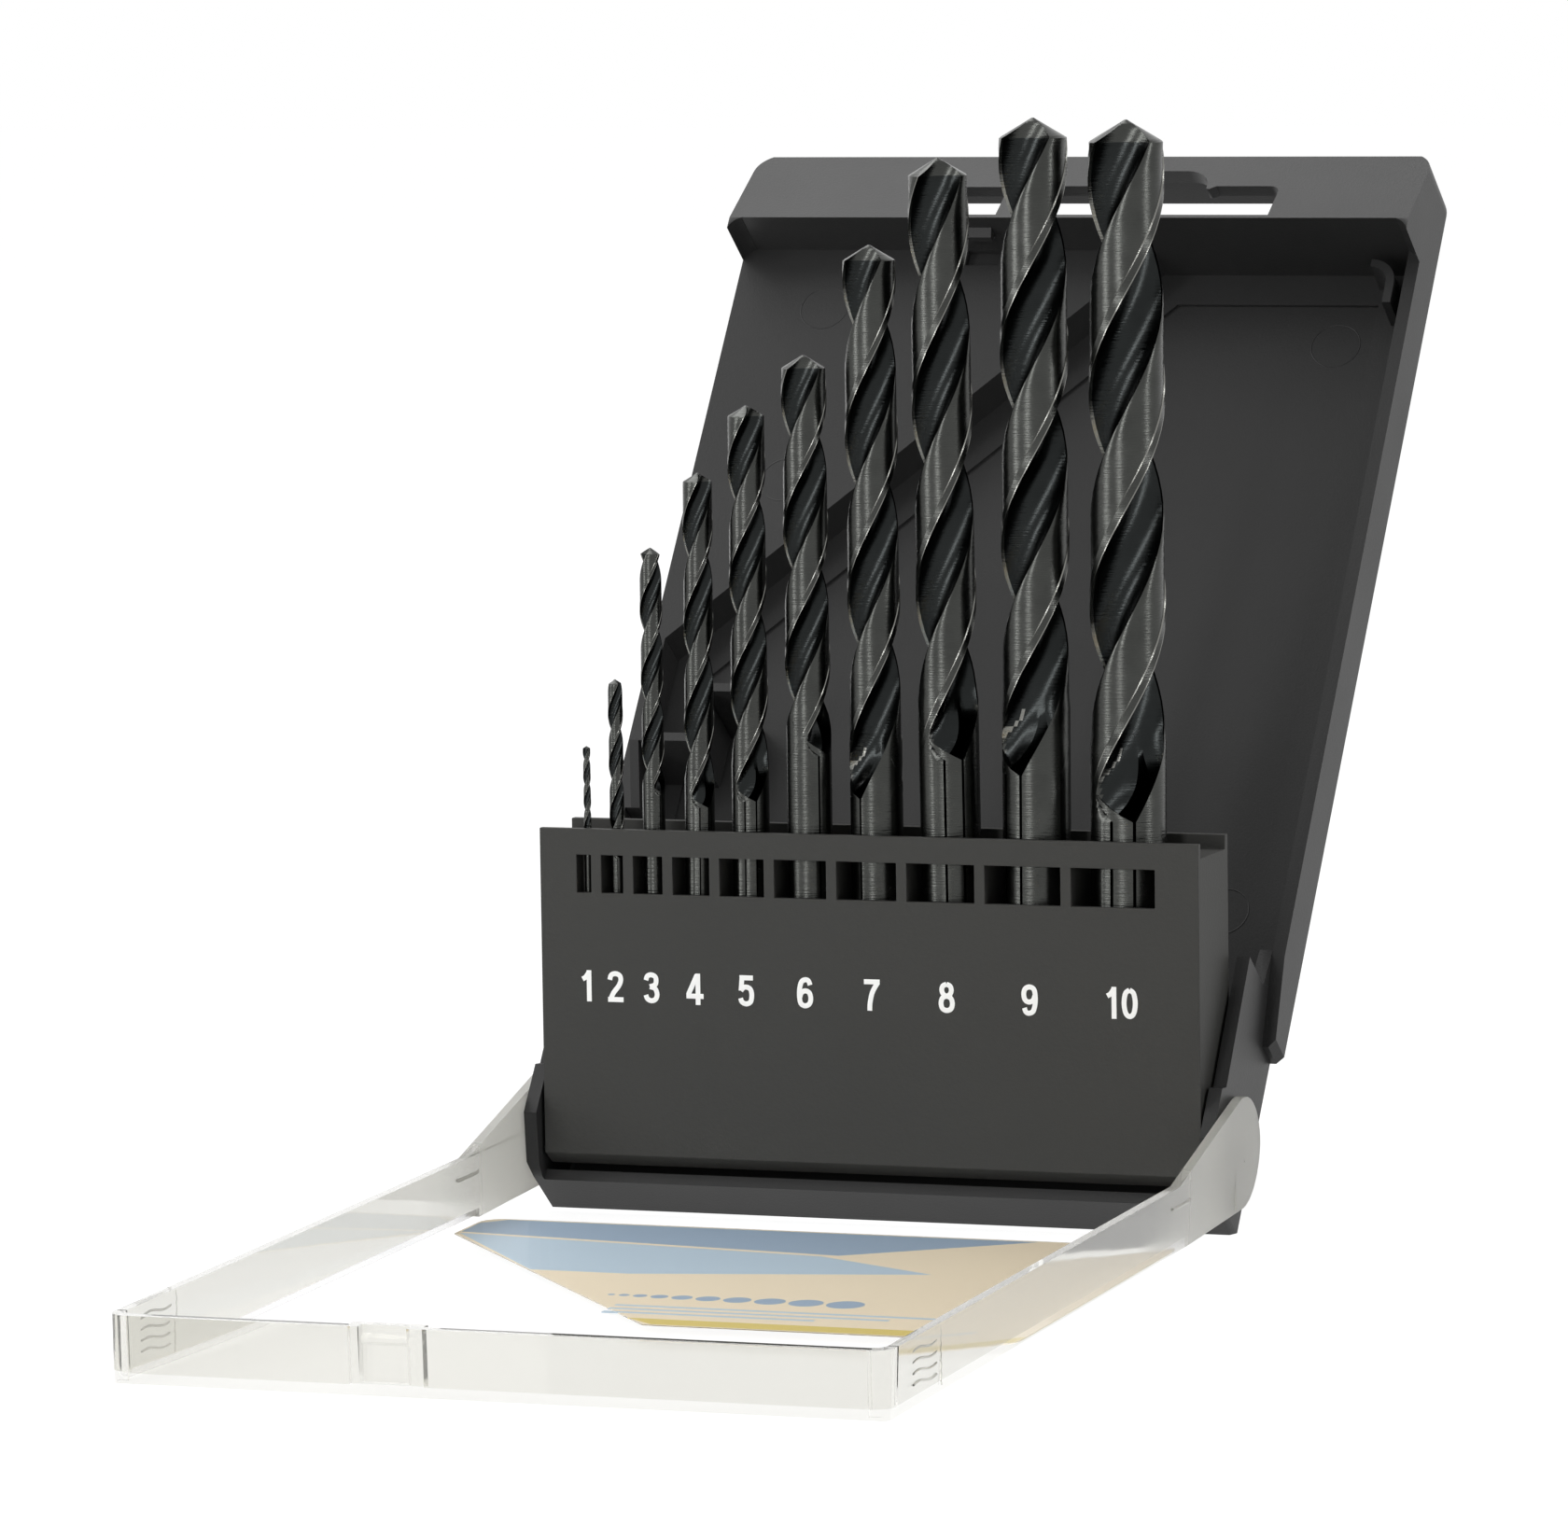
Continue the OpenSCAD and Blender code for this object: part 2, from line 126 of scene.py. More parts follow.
def finish_piece(name, bm, place, body, materials, replaces=(), smooth=radians(35), flat=False):
    """Makes the mesh an object in the row frame that rides on a body, shaded smooth between flat edges."""
    bmesh.ops.transform(bm, matrix=place, verts=bm.verts)
    mesh = bpy.data.meshes.new(name)
    for face in bm.faces:
        face.smooth = True
    for edge in bm.edges:
        if len(edge.link_faces) == 2 and edge.calc_face_angle(0) > smooth:
            edge.smooth = False
    bm.to_mesh(mesh)
    bm.free()
    piece = bpy.data.objects.new(name, mesh)
    bpy.context.scene.collection.objects.link(piece)
    for material in materials:
        mesh.materials.append(material)
    if flat:
        flats = piece.modifiers.new("flats", "WEIGHTED_NORMAL")
        flats.keep_sharp = True
        flats.weight = 100
    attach(piece, body)
    if replaces:
        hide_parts(*replaces)


def cad_shape(node):
    """Merged copy of a CAD node's mesh, with whole flat faces."""
    bm = bmesh.new()
    bm.from_mesh(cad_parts[node].data)
    bmesh.ops.remove_doubles(bm, verts=bm.verts, dist=2e-6)
    bmesh.ops.dissolve_limit(
        bm, angle_limit=radians(0.3), use_dissolve_boundaries=False, verts=bm.verts, edges=bm.edges)
    return bm


def round_edges(bm, radius, sharp=radians(28)):
    """Small moulded radius on every sharp edge."""
    edges = [e for e in bm.edges if len(e.link_faces) == 2 and e.calc_face_angle(0) > sharp]
    bmesh.ops.bevel(
        bm, geom=edges, offset=radius, offset_type="OFFSET", affect="EDGES", segments=2, profile=0.5,
        clamp_overlap=True, loop_slide=True, material=-1)


def prism(bm, points, z0, z1, material=0):
    """Flat shape of [x, y] points drawn out along z."""
    face = bm.faces.new([bm.verts.new((x, y, z0)) for x, y in points])
    face.material_index = material
    out = bmesh.ops.extrude_face_region(bm, geom=[face], use_keep_orig=True)
    new = [v for v in out["geom"] if isinstance(v, bmesh.types.BMVert)]
    bmesh.ops.translate(bm, verts=new, vec=(0, 0, z1 - z0))


def flowing(points, steps=6):
    """Smooth line through the points."""
    line = []
    ends = [points[0]] + list(points) + [points[-1]]
    for a, b, c, d in zip(ends, ends[1:], ends[2:], ends[3:]):
        for k in range(steps):
            t = k / steps
            line.append(tuple(
                0.5 * (2 * q + (r - p) * t + (2 * p - 5 * q + 4 * r - s) * t * t
                       + (3 * q - p - 3 * r + s) * t ** 3)
                for p, q, r, s in zip(a, b, c, d)))
    return line + [tuple(points[-1])]


def rod(bm, points, radius, sides=8):
    """Thin round bead along a line of points."""
    rings, last = [], len(points) - 1
    for i, point in enumerate(points):
        ahead = Vector(points[min(i + 1, last)]) - Vector(points[max(i - 1, 0)])
        place = Matrix.Translation(point) @ ahead.to_track_quat("Z", "Y").to_matrix().to_4x4()
        closed = i in (0, last)
        out = bmesh.ops.create_circle(bm, segments=sides, radius=radius, cap_ends=closed, matrix=place)
        rings.append({e for v in out["verts"] for e in v.link_edges})
    for a, b in zip(rings, rings[1:]):
        bmesh.ops.bridge_loops(bm, edges=list(a | b))


# ---------- materials ----------


def add_node(tree, kind, settings=None, **links):
    """A node with its settings; each link names an input, or i and its number, and gives an output."""
    node = tree.nodes.new(kind)
    for key, value in (settings or {}).items():
        if isinstance(key, int) or key in node.inputs:
            node.inputs[key].default_value = value
        else:
            setattr(node, key, value)
    for key, source in links.items():
        target = node.inputs[int(key[1:]) if key[0] == "i" and key[1:].isdigit() else key.replace("_", " ")]
        tree.links.new(source, target)
    return node


def new_material(name):
    """Empty node material and its tree, surface node and object coordinates."""
    material = bpy.data.materials.new(name)
    material.use_nodes = True
    tree = material.node_tree
    surface = tree.nodes["Principled BSDF"]
    place = add_node(tree, "ShaderNodeTexCoord").outputs["Object"]
    return material, tree, surface, place


def noise(tree, place, scale, detail, rough=0.5):
    """Noise from 0 to 1, with its scale in waves for each metre."""
    settings = {"Scale": scale, "Detail": detail, "Roughness": rough}
    return add_node(tree, "ShaderNodeTexNoise", settings, Vector=place).outputs["Fac"]


def spread(tree, source, low, high):
    """The source's 0 to 1 spread from low to high."""
    return add_node(tree, "ShaderNodeMapRange", {"To Min": low, "To Max": high}, Value=source).outputs[0]


def tint(tree, surface, base, tone):
    """Base colour of the surface, which a tone near 1 lightens and darkens."""
    shade = add_node(tree, "ShaderNodeVectorMath", {"operation": "SCALE", 0: tuple(base)}, Scale=tone)
    tree.links.new(shade.outputs[0], surface.inputs["Base Color"])


def relief(tree, surface, height, strength, depth):
    """Fine relief of the surface, with its depth in metres."""
    bump = add_node(tree, "ShaderNodeBump", {"Strength": strength, "Distance": depth}, Height=height)
    tree.links.new(bump.outputs[0], surface.inputs["Normal"])


def moulded_polypropylene(name, base, rough, grain_mm, strength):
    """Black polypropylene from an eroded steel mould: fine even grain, satin gloss, faint flow clouds."""
    material, tree, surface, place = new_material(name)
    clouds = noise(tree, place, 55, 3)
    tint(tree, surface, base, spread(tree, clouds, 0.93, 1.07))
    tree.links.new(spread(tree, clouds, rough - 0.04, rough + 0.05), surface.inputs["Roughness"])
    relief(tree, surface, noise(tree, place, 1000 / grain_mm, 2, 0.6), strength, 0.00006)
    surface.inputs["IOR"].default_value = 1.49
    surface.inputs["Specular IOR Level"].default_value = 0.2
    return material


def printed_ink(name, base):
    """Matt printing ink: even colour with a slight mottle of its thickness."""
    material, tree, surface, place = new_material(name)
    tint(tree, surface, base, spread(tree, noise(tree, place, 900, 2), 0.95, 1.03))
    surface.inputs["Roughness"].default_value = 0.45
    return material


def oxidised_steel(name, base, rough):
    """Steam-oxidised high-speed steel: dark, metallic, with fine grinding lines and blotches of oxide."""
    material, tree, surface, place = new_material(name)
    blotch = noise(tree, place, 260, 4, 0.6)
    tint(tree, surface, base, spread(tree, blotch, 0.75, 1.25))
    tree.links.new(spread(tree, blotch, rough - 0.08, rough + 0.1), surface.inputs["Roughness"])
    # grinding lines round the drill, 0.15 mm apart, so that they show
    lines = add_node(tree, "ShaderNodeMapping", {"Scale": (300, 300, 6500)}, Vector=place)
    relief(tree, surface, noise(tree, lines.outputs[0], 1, 2), 0.8, 0.00006)
    surface.inputs["Metallic"].default_value = 1.0
    return material


def clear_polystyrene(name, base):
    """Clear general-purpose polystyrene: glossy and colourless, gone milky round the hinge ears."""
    material, tree, surface, place = new_material(name)
    surface.inputs["Base Color"].default_value = (*base, 1)
    surface.inputs["IOR"].default_value = 1.58
    along = add_node(tree, "ShaderNodeSeparateXYZ", Vector=place).outputs["Y"]
    # from the wall's clear part to the ear
    ear = {"From Min": -0.045, "From Max": -0.012}
    haze = add_node(tree, "ShaderNodeMapRange", ear, Value=along).outputs[0]
    tree.links.new(spread(tree, haze, 0.04, 0.4), surface.inputs["Roughness"])
    tree.links.new(spread(tree, haze, 0.97, 0.75), surface.inputs["Transmission Weight"])
    relief(tree, surface, noise(tree, place, 90, 1), 0.15, 0.0002)
    return material


def clear_plate(name, base):
    """The lid's flat plate: clear, with the faint mirror of its gloss and no haze of its own."""
    material, tree, surface, place = new_material(name)
    surface.inputs["Base Color"].default_value = (*base, 1)
    surface.inputs["Metallic"].default_value = 1.0
    surface.inputs["Alpha"].default_value = 0.03
    tree.links.new(spread(tree, noise(tree, place, 40, 1), 0.02, 0.06), surface.inputs["Roughness"])
    return material


# ---------- pieces ----------


# Middles of the ejector marks on the shell, their radius and the bead that draws them, in mm
EJECTOR_MARKS = [(38, 131.5, -6.9), (38, 40, -6.9), (-36, 133, -0.3), (-36, 104, -0.3)]
MARK_R, BEAD_R, BEAD_SUNK = 3.5, 0.09, 0.03


class CASE_OT_shell(bpy.types.Operator):
    """Back shell: the CAD shape with moulded edges, and the round marks of the mould's ejector pins"""
    bl_idname = "case.shell"
    bl_label = "Back shell"

    def execute(self, context):
        colours, sizes = context.scene.case_colours, context.scene.case_sizes
        plastic = moulded_polypropylene("satin moulded polypropylene", colours.shell, 0.42, 0.35, 0.35)
        bm = cad_shape("back_shell")
        round_edges(bm, sizes.edge_round)
        finish_piece("shell_moulding", bm, Matrix(), "shell", [plastic], ["back_shell"],
                     flat=True)
        bm = bmesh.new()
        for x, y, z in EJECTOR_MARKS:
            ring = bmesh.ops.create_circle(
                bm, segments=8, radius=BEAD_R,
                matrix=Matrix.Translation((x + MARK_R, y, z - BEAD_SUNK)) @ Matrix.Rotation(pi / 2, 4, "X"))
            edges = list({e for v in ring["verts"] for e in v.link_edges})
            bmesh.ops.spin(bm, geom=ring["verts"] + edges, cent=(x, y, 0), axis=(0, 0, 1), angle=2 * pi,
                           steps=40, use_merge=True)
        bmesh.ops.recalc_face_normals(bm, faces=bm.faces)
        finish_piece("ejector_marks", bm, ON_SHELL, "shell", [plastic])
        return {"FINISHED"}


class CASE_OT_holder(bpy.types.Operator):
    """Bit holder: the CAD shape with moulded edges"""
    bl_idname = "case.holder"
    bl_label = "Bit holder"

    def execute(self, context):
        colours, sizes = context.scene.case_colours, context.scene.case_sizes
        plastic = moulded_polypropylene("eroded moulded polypropylene", colours.holder, 0.52, 0.45, 0.4)
        bm = cad_shape("bit_holder")
        round_edges(bm, sizes.edge_round)
        finish_piece("holder_moulding", bm, Matrix(), "holder", [plastic], ["bit_holder"],
                     flat=True)
        return {"FINISHED"}


# Middle lines of the numerals' strokes, on a box 1.6 wide and 4.2 high
NUMERAL_H = 4.2
NUMERALS = {
    "1": [[(-0.62, 2.98), (-0.22, 3.2), (0.1, 3.62), (0.22, 3.84)], [(0.3, 4.2), (0.3, 0)]],
    "2": [flowing([(-0.79, 3.0), (-0.6, 3.62), (0, 3.84), (0.6, 3.62), (0.77, 3.0), (0.45, 2.2), (-0.3, 1.25),
                   (-0.72, 0.36)]), [(-1.08, 0.36), (1.12, 0.36)]],
    "3": [flowing([(-0.76, 3.1), (-0.55, 3.65), (0, 3.84), (0.55, 3.6), (0.68, 3.05), (0.5, 2.5),
                   (-0.22, 2.24)]),
          flowing([(-0.22, 2.24), (0.5, 2.02), (0.79, 1.28), (0.58, 0.6), (0, 0.36), (-0.58, 0.6),
                   (-0.8, 1.12)])],
    "4": [[(0.42, 4.2), (0.42, 0)], [(0.3, 4.0), (-0.95, 1.35)], [(-1.22, 1.16), (1.2, 1.16)]],
    "5": [[(0.98, 3.84), (-0.9, 3.84)], [(-0.54, 4.1), (-0.72, 2.1)],
          flowing([(-0.74, 2.1), (-0.4, 2.5), (0.1, 2.6), (0.62, 2.3), (0.79, 1.5), (0.6, 0.65), (0, 0.36),
                   (-0.6, 0.6), (-0.8, 1.1)])],
    "6": [flowing([(0.72, 3.15), (0.5, 3.7), (0.05, 3.84), (-0.48, 3.55), (-0.76, 2.6), (-0.79, 1.5),
                   (-0.6, 0.65), (0, 0.36), (0.6, 0.65), (0.79, 1.36), (0.6, 2.1), (0.05, 2.36), (-0.5, 2.1),
                   (-0.74, 1.5)])],
    "7": [[(-1.08, 3.84), (1.12, 3.84)], flowing([(0.8, 3.7), (0.1, 2.5), (-0.25, 1.1), (-0.32, 0)])],
    "8": [flowing([(0, 3.84), (0.5, 3.6), (0.66, 3.05), (0.45, 2.5), (0, 2.28), (-0.45, 2.5), (-0.66, 3.05),
                   (-0.5, 3.6), (0, 3.84)]),
          flowing([(0, 2.28), (0.58, 2.0), (0.79, 1.3), (0.58, 0.6), (0, 0.36), (-0.58, 0.6), (-0.79, 1.3),
                   (-0.58, 2.0), (0, 2.28)])],
    "0": [flowing([(0, 3.84), (0.55, 3.4), (0.77, 2.1), (0.55, 0.8), (0, 0.36), (-0.55, 0.8), (-0.77, 2.1),
                   (-0.55, 3.4), (0, 3.84)])],
}
NUMERALS["9"] = [[(-x, NUMERAL_H - y) for x, y in line] for line in NUMERALS["6"]]


DIGIT_PITCH = 2.45
PRINT_SPREAD, PRINT_SHIFT = 1.01, 0.6    # the print is a little wider than the pockets, and right of them
INK_PROUD = 0.02


def pocket_middles():
    """Middles of the holder's ten pockets, across."""
    widths = [1.05 * d + 1 for d in range(1, 11)]
    left = -(sum(widths) + 9 * POCKET_WEB) / 2 - 0.4
    middles = []
    for width in widths:
        middles.append(left + width / 2)
        left += width + POCKET_WEB
    return middles


class CASE_OT_numerals(bpy.types.Operator):
    """Printed numbers 1 to 10 on the holder's front, one under each drill"""
    bl_idname = "case.numerals"
    bl_label = "Numerals"

    def execute(self, context):
        sizes = context.scene.case_sizes
        ink = printed_ink("white pad-printing ink", context.scene.case_colours.numeral)
        scale = sizes.numeral_h / (NUMERAL_H / 1000)
        bm = bmesh.new()
        for size, middle in enumerate(pocket_middles(), 1):
            digits = str(size)
            for k, digit in enumerate(digits):
                shift = PRINT_SPREAD * middle + PRINT_SHIFT + DIGIT_PITCH * (k - (len(digits) - 1) / 2)
                for line in NUMERALS[digit]:
                    rod(bm, [(shift + x * scale, y * scale + sizes.numeral_y * 1000, 0) for x, y in line],
                        sizes.stroke * 500, 12)
        # the round beads are pressed flat, so that the ink stands just proud
        bmesh.ops.scale(bm, verts=bm.verts, vec=(1, 1, 2 * INK_PROUD / (sizes.stroke * 1000)))
        bmesh.ops.translate(bm, verts=bm.verts, vec=(0, 0, HOLDER_FRONT))
        bmesh.ops.recalc_face_normals(bm, faces=bm.faces)
        finish_piece("printed_numerals", bm, ON_HOLDER, "holder", [ink])
        return {"FINISHED"}


PLATE_HALF, PLATE_NEAR = 47.9, 25.4      # where the plate ends, across and towards the hinge
LID_ROUND = 0.00015                      # radius of the lid's edges, in metres
BEAD_DEEP, DOT_DEEP = 0.18, 0.22         # how far beads and dots on the side walls are let in


class CASE_OT_lid(bpy.types.Operator):
    """Clear lid: the CAD shape with moulded edges, and its moulded grips, ribs and marks"""
    bl_idname = "case.lid"
    bl_label = "Clear lid"

    def execute(self, context):
        clear = context.scene.case_colours.clear
        wall = clear_polystyrene("clear moulded polystyrene", clear)
        plate = clear_plate("clear polystyrene plate", clear)
        bm = cad_shape("clear_lid")
        round_edges(bm, LID_ROUND)
        up = ON_LID.to_3x3().normalized() @ Vector((0, 0, 1))
        low = ON_LID.inverted()
        for face in bm.faces:
            middle = low @ face.calc_center_median()
            flat_face = abs(face.normal.dot(up)) > 0.999 or middle.y < PLATE_NEAR
            if flat_face and middle.z > LID_Z - PLATE_T - 0.1 and abs(middle.x) < PLATE_HALF:
                face.material_index = 1
        finish_piece("lid_moulding", bm, Matrix(), "lid", [wall, plate], ["clear_lid"],
                     flat=True)
        bm = bmesh.new()
        for side in (-1, 1):
            out = side * (LID_HALF - BEAD_DEEP)
            # finger grips near the far end, and the wavy witness line beside them
            for k in range(4):
                z = 1.9 + k * 1.35
                line = [(out, 124.6 + t * 8.4 / 12, z + 0.22 * sin(t * 2 * pi / 12) - 0.02 * t)
                        for t in range(13)]
                rod(bm, line, 0.14)
            line = [(out, 123.0 + 0.16 * sin(t * 2.1), 0.4 + t * 0.42) for t in range(18)]
            rod(bm, line, 0.1)
            # short rib behind the ear, the ear's step lines and the marks at its pivot
            rod(bm, [(out, 24, 2.4), (out, 24.6, 2.55), (out, 31, 2.55), (out, 31.6, 2.4)], 0.25)
            rod(bm, [(out, 28, 0), (out, 10, 0), (out, -6.6, 0)], 0.1)
            rod(bm, [(out, 3.8, -5.6), (out, 3.8, 1), (out, 3.8, 7.4)], 0.1)
            for z in (-1.45, 1.45):
                bmesh.ops.create_uvsphere(bm, u_segments=12, v_segments=8, radius=0.25,
                                          matrix=Matrix.Translation((side * (LID_HALF - DOT_DEEP), 0, z)))
        bmesh.ops.recalc_face_normals(bm, faces=bm.faces)
        finish_piece("lid_ribs", bm, ON_LID, "lid", [wall])
        return {"FINISHED"}


LABEL_HALF, LABEL_NEAR, LABEL_FAR, LABEL_R = 46.8, 26.5, 92.0, 3.0
LABEL_CUT = [(0, LABEL_FAR), (-LABEL_HALF, 38)]     # the edge that cuts one corner off
FILM_T, INK_T, INK_UNDER = 0.12, 0.004, 0.01

# Printed panels: number of the ink, and the outline
PANELS = [
    (1, [(-46.4, 30), (-43.5, 27), (30, 27), (8, 42), (-46.4, 36.5)]),
    (2, [(-46.2, 37.5), (6, 43), (24, 52), (-14, 60), (-27.5, 60)]),
    (3, [(1.0, 91.6), (-3.4, 88.2), (46.3, 88.2), (46.3, 89), (45, 91), (43.8, 91.6)]),
]


def corner(x, y, start):
    """Quarter circle of the label's outline, round its middle."""
    turns = [radians(start + 15 * k) for k in range(7)]
    return [(x + LABEL_R * cos(turn), y + LABEL_R * sin(turn)) for turn in turns]


class CASE_OT_label(bpy.types.Operator):
    """Label: film in the lid's shallow seat, with a plain print of panels and growing dots"""
    bl_idname = "case.label"
    bl_label = "Label"

    def execute(self, context):
        colours = context.scene.case_colours
        inks = [printed_ink("printed film ground", colours.paper),
                printed_ink("printed film dark blue", colours.ink_dark),
                printed_ink("printed film light blue", colours.ink_light),
                printed_ink("printed film yellow", colours.ink_edge)]
        under = LID_Z - FILM_T
        in_x, near = LABEL_HALF - LABEL_R, LABEL_NEAR + LABEL_R
        outline = (corner(in_x, near, -90) + corner(in_x, LABEL_FAR - LABEL_R, 0) + LABEL_CUT
                   + corner(-in_x, near, 180))
        bm = bmesh.new()
        prism(bm, outline, under, LID_Z)
        printed = list(PANELS)
        # ten dots that grow like the drills
        across = 0.0
        for size in range(1, 11):
            radius = 0.22 * size + 0.25
            across += radius + 0.55
            printed.append((1, [(-12 + across + radius * cos(a * pi / 12), 74 + radius * sin(a * pi / 12))
                                for a in range(24)]))
            across += radius
        # three bars
        for k in range(3):
            left, right, low, high = -8, 38 - 9 * k, 80 + k * 2.2, 80.9 + k * 2.2
            printed.append((2, [(left, low), (right, low), (right, high), (left, high)]))
        for ink, points in printed:
            prism(bm, points, under - INK_UNDER, LID_Z + INK_T, ink)
        bmesh.ops.recalc_face_normals(bm, faces=bm.faces)
        finish_piece("printed_label", bm, ON_LID, "lid", inks, ["lid_label"])
        return {"FINISHED"}


# Half of a drill's land, from its heel to the raised margin that leads it, as angle and share of the radius
LAND = [(0, 0.945), (4, 0.965), (13, 0.967), (22, 0.967), (31, 0.967), (40, 0.967), (49, 0.967), (58, 0.967),
        (67, 0.967), (69, 0.967), (70.5, 1.0), (82, 1.0), (84, 1.0)]
MARGIN_END = LAND[-1][0]
# The flute's grinding wheel: direction, radius and distance of its middle, as shares of the drill's radius
FLUTE_MIDDLE, WHEEL, REACH = radians(132), 0.803, 0.973
FLUTE_POINTS = 18
POINT = radians(59)              # half the point's angle
START = 138                      # degrees from the land's start at the shoulder, before a drill's own turn
RUNOUT, RUNOUT_LIFT = 1.2, 0.84  # length in diameters, and lift of the wheel in radii
# material 2 paints the highlight of the margins' polished edges as a lighter steel colour
FLUTE, MARGIN_HIGHLIGHT = 1, 2               # numbers of these materials on a drill; 0 is its body


def drill_section():
    """The whole cross-section once round, as shares of the radius: land, margin and round flute, twice."""
    half = [Vector((share * cos(radians(a)), share * sin(radians(a)))) for a, share in LAND]
    for k in range(1, FLUTE_POINTS + 1):
        ground = radians(-112.2 - 135.6 * k / (FLUTE_POINTS + 1))
        wall = Vector((REACH + WHEEL * cos(ground), WHEEL * sin(ground)))
        wall.rotate(Matrix.Rotation(FLUTE_MIDDLE, 2))
        half.append(wall)
    return half + [-point for point in half]


class CASE_OT_drills(bpy.types.Operator):
    """Twist drills 1 to 10 mm: shank, run-out, two right-hand flutes with margins, and a 118 degree point"""
    bl_idname = "case.drills"
    bl_label = "Twist drills"

    def execute(self, context):
        colours = context.scene.case_colours
        steels = [oxidised_steel("steam-oxidised high-speed steel", colours.steel, 0.24),
                  oxidised_steel("steam oxide in the flutes", colours.flute, 0.2),
                  # the third steel is lighter to paint the highlight on the margins' edges
                  oxidised_steel("oxidised steel with painted margin highlight", colours.edge, 0.2)]
        for i, middle in enumerate(pocket_middles()):
            self.drill(i, middle, steels)
        return {"FINISHED"}

    def drill(self, i, middle, materials):
        size = i + 1.0
        r = size / 2
        length, start = DRILL_L[i], DRILL_L[i] - FLUTE_L[i]
        shoulder = length - r / tan(POINT)
        runout = RUNOUT * size
        per_mm = tan(radians(HELIX[i])) / r          # helix turn, radians for each millimetre
        bm = bmesh.new()
        ring = [bm.verts.new((r * point.x, r * point.y, start)) for point in drill_section()]
        first_turn = radians(START + DRILL_TURN[i]) - (shoulder - start) * per_mm
        bmesh.ops.rotate(bm, verts=ring, cent=(0, 0, 0), matrix=Matrix.Rotation(first_turn, 3, "Z"))
        edges = [bm.edges.new((ring[k - 1], ring[k])) for k in range(len(ring))]
        bottom = list(edges)
        geom = ring + edges
        flute_steps = max(24, int((shoulder - start - runout) * per_mm * 5.5))
        for end, steps in ((start + runout, 14), (shoulder, flute_steps), (length - 0.02 * r, 12)):
            z = geom[0].co.z
            out = bmesh.ops.spin(
                bm, geom=geom, cent=(0, 0, 0), axis=(0, 0, 1), angle=(end - z) * per_mm,
                dvec=(0, 0, (end - z) / steps), steps=steps, use_merge=False, use_duplicate=False)
            geom = out["geom_last"]
            geom.sort(key=lambda g: not isinstance(g, bmesh.types.BMVert))
        # angles of the section's points, and where they stand evenly spaced on the shank
        section = drill_section()
        half = [degrees(atan2(point.y, point.x)) % 180 for point in section[:len(section) // 2]]
        steps = len(half) - len(LAND) + 1
        even = [a if k < len(LAND) else MARGIN_END + (180 - MARGIN_END) * (k - len(LAND) + 1) / steps
                for k, a in enumerate(half)]

        def local_angle(at):
            """Angle of a point from the start of its land, in degrees."""
            return (degrees(atan2(at.y, at.x) - (at.z - shoulder) * per_mm) - START - DRILL_TURN[i]) % 180

        for vert in bm.verts:
            z, share = vert.co.z, hypot(vert.co.x, vert.co.y)
            reach, shift = share, 0.0
            if z < start + runout:
                # the flute's wheel lifts away along a parabola, and the ring evens out into the round shank
                back = min(1.0, (start + runout - z) / runout)
                reach = min(r, share + r * RUNOUT_LIFT * back * back)
                local = local_angle(vert.co)
                near = min(range(len(half)), key=lambda k: abs((half[k] - local + 90) % 180 - 90))
                shift = radians(even[near] - half[near]) * back * back
            if z > shoulder:
                reach = min(reach, (length - z) * tan(POINT))
            around = atan2(vert.co.y, vert.co.x) + shift
            vert.co.x, vert.co.y = reach * cos(around), reach * sin(around)
        for face in bm.faces:
            at = face.calc_center_median()
            local = local_angle(at)
            # narrow strips along the margins' edges take the lighter colour of the painted highlight
            if start + 0.4 * runout < at.z < shoulder and (81.5 < local < 84.5 or 68.5 < local < 70.8):
                face.material_index = MARGIN_HIGHLIGHT
            elif hypot(at.x, at.y) < 0.93 * r and start < at.z < shoulder:
                face.material_index = FLUTE
        # point, shank and its chamfered end
        tip = [g for g in geom if isinstance(g, bmesh.types.BMEdge)]
        bmesh.ops.contextual_create(bm, geom=tip)
        for drop, share in ((start - 0.25, 1.0), (0.25, 0.9)):
            out = bmesh.ops.extrude_edge_only(bm, edges=bottom)
            new = [g for g in out["geom"] if isinstance(g, bmesh.types.BMVert)]
            bmesh.ops.translate(bm, verts=new, vec=(0, 0, -drop))
            bmesh.ops.scale(bm, verts=new, vec=(share, share, 1))
            bottom = [g for g in out["geom"]
                      if isinstance(g, bmesh.types.BMEdge) and all(v in new for v in g.verts)]
        bmesh.ops.contextual_create(bm, geom=bottom)
        bmesh.ops.recalc_face_normals(bm, faces=bm.faces)
        seat = Matrix.Translation((middle, SEAT_H[i] - HOLDER_DROP, HOLDER_FRONT - POCKET_FRONT - r))
        place = (ON_HOLDER @ seat @ Matrix.Rotation(-pi / 2, 4, "X")
                 @ Matrix.Rotation(radians(DRILL_LEAN[i]), 4, "Y"))
        finish_piece(f"twist_drill_{i + 1}mm", bm, place, f"drill_{i + 1}", materials,
                     [f"drill_{i + 1}mm"], smooth=radians(24))


